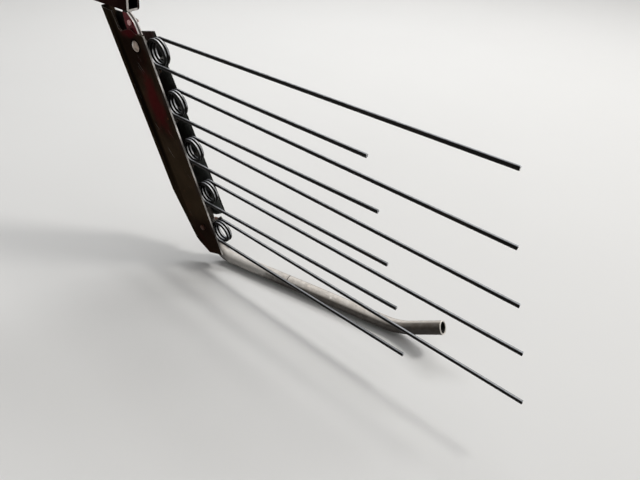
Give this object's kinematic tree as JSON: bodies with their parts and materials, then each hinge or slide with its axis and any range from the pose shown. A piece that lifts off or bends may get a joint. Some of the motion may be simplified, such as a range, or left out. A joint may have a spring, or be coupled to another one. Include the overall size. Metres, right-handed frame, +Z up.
{
  "type": "swath gate of a twin rotor hay rake",
  "caption": "Tined swath gate: folded steel bar with coil-spring double tines and a skid tube, hung from a tubular arm on a tilt bolt.",
  "frame": {"origin": "centre of the cross hole near the front end of the arm tube, by which the gate is pinned to the machine", "axes": "+X to the rear along the tines and the arm, +Y to the far side along the cross hole, +Z up"},
  "size_m": [1.3078, 0.1494, 0.6147],
  "materials": {
    "arm_steel": "worn dark brown paint over steel, dusty",
    "hanger_steel": "worn dull red paint, bare edges",
    "bar_steel": "weathered near-black brown steel with traces of red paint",
    "plate_steel": "black weathered sheet",
    "spring_wire": "black spring wire, polished blue-grey along the top",
    "clip_steel": "black weathered strap",
    "old_zinc": "dull zinc plating",
    "bright_bolt": "bright plated head",
    "stop_bolt_steel": "dull plated steel with red paint on it",
    "skid_galvanised": "weathered grey-brown tube, dusty",
    "rusty_bolt": "rust-brown steel"
  },
  "bodies": {
    "arm": {"arm_tube": "arm_steel", "hanger_bar": "hanger_steel", "stop_bolt": "stop_bolt_steel", "stop_nut": "old_zinc"},
    "gate": {"gate_bar": "bar_steel", "far_plate": "plate_steel", "pivot_bolt": "bright_bolt", "pivot_washer": "old_zinc", "pivot_nut": "old_zinc", "tine_1": "spring_wire", "tine_2": "spring_wire", "tine_3": "spring_wire", "tine_4": "spring_wire", "tine_5": "spring_wire", "tine_clip_1": "clip_steel", "tine_clip_2": "clip_steel", "tine_clip_3": "clip_steel", "tine_clip_4": "clip_steel", "tine_clip_5": "clip_steel", "clip_nut_1": "old_zinc", "clip_nut_2": "old_zinc", "clip_nut_3": "old_zinc", "clip_nut_4": "old_zinc", "clip_nut_5": "old_zinc", "skid_tube": "skid_galvanised", "skid_bolt": "rusty_bolt", "skid_nut": "rusty_bolt"}
  },
  "joints": [
    {"name": "gate_tilt", "type": "hinge", "parent": "arm", "child": "gate", "pos_m": [0.34, 0, -0.0865], "axis": [0, -1, 0], "range_deg": [0, 18]}
  ]
}
